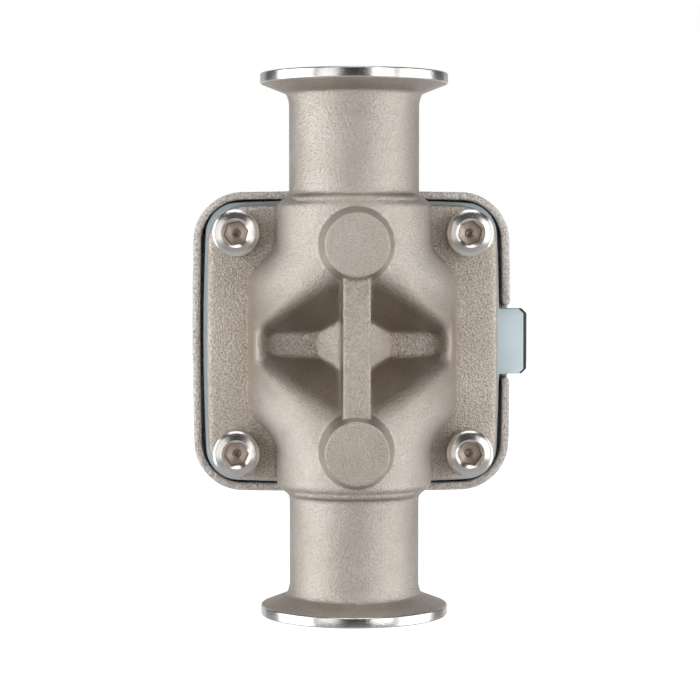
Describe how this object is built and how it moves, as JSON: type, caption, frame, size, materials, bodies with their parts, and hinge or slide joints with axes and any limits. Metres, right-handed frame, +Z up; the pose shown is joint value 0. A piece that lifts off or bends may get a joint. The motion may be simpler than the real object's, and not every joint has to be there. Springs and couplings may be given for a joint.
{
  "type": "pneumatic diaphragm valve",
  "caption": "Weir-type diaphragm valve with clamp ferrule ends, a four-screw cast body and bonnet, and a spring-closed pneumatic piston actuator with a position indicator.",
  "frame": {"origin": "centre of the lower clamp ferrule's sealing face, on the pipe axis", "axes": "+Z up the pipe to the other ferrule, +Y from the pipe axis along the stem to the actuator, +X to the side where the diaphragm's tab comes out; the belly with its two round discs faces -Y"},
  "size_m": [0.094, 0.1895, 0.146],
  "materials": {
    "cast_steel": "bead-blasted investment casting, matt",
    "rough_cast_steel": "rough shot-blasted casting",
    "ptfe": "smooth satin, pale blue-grey",
    "epdm": "matt black",
    "seal_rubber": "matt black",
    "machined_steel": "turned, bright",
    "screw_steel": "polished stainless",
    "cylinder_steel": "brushed stainless tube",
    "aluminium": "turned, satin",
    "bronze": "sintered bronze",
    "guide_plastic": "filled PTFE, brown",
    "spring_steel": "drawn spring wire",
    "clear_plastic": "clear moulded polycarbonate",
    "signal_plastic": "signal red",
    "black_plastic": "moulded, satin black",
    "collar_plastic": "moulded blue"
  },
  "bodies": {
    "valve": {"valve_body": "cast_steel", "bonnet": "rough_cast_steel", "diaphragm_ptfe": "ptfe", "diaphragm_epdm": "epdm", "stem_o_ring_1": "seal_rubber", "stem_o_ring_2": "seal_rubber", "stem_wiper": "seal_rubber", "cylinder_o_ring": "seal_rubber", "cover_o_ring": "seal_rubber", "indicator_o_ring": "seal_rubber", "dome_o_ring": "seal_rubber", "air_fitting_base": "machined_steel", "body_screw_1": "screw_steel", "body_screw_2": "screw_steel", "body_screw_3": "screw_steel", "body_screw_4": "screw_steel", "cylinder_screw_1": "screw_steel", "cylinder_screw_2": "screw_steel", "cylinder_screw_3": "screw_steel", "cylinder_screw_4": "screw_steel", "cylinder": "cylinder_steel", "top_cover": "aluminium", "stem_bush": "bronze", "exhaust_vent": "bronze", "spring_outer": "spring_steel", "spring_inner": "spring_steel", "cover_retaining_ring": "spring_steel", "indicator_dome": "clear_plastic"},
    "stem": {"stem": "machined_steel", "compressor": "aluminium", "compressor_pin": "machined_steel", "diaphragm_stud": "machined_steel", "piston": "aluminium", "piston_seal": "seal_rubber", "piston_guide_ring": "guide_plastic", "piston_washer": "machined_steel", "piston_nut": "machined_steel", "indicator_rod": "machined_steel", "indicator_tip": "signal_plastic"},
    "air_elbow": {"air_fitting_elbow": "black_plastic"},
    "release_collar": {"air_fitting_collar": "collar_plastic"}
  },
  "joints": [
    {"name": "stem_slide", "type": "slide", "parent": "valve", "child": "stem", "axis": [0, 1, 0], "range_m": [0, 0.014], "stiffness_N_per_m": 3000, "springref_m": -0.02, "deforming": ["spring_outer", "spring_inner", "diaphragm_ptfe", "diaphragm_epdm"]},
    {"name": "elbow_swivel", "type": "hinge", "parent": "valve", "child": "air_elbow", "pos_m": [0, 0.0725, 0.13], "axis": [0, 0, 1], "continuous": true},
    {"name": "collar_press", "type": "slide", "parent": "air_elbow", "child": "release_collar", "axis": [0, -1, 0], "range_m": [0, 0.0012], "stiffness_N_per_m": 300, "springref_m": -0.001}
  ]
}
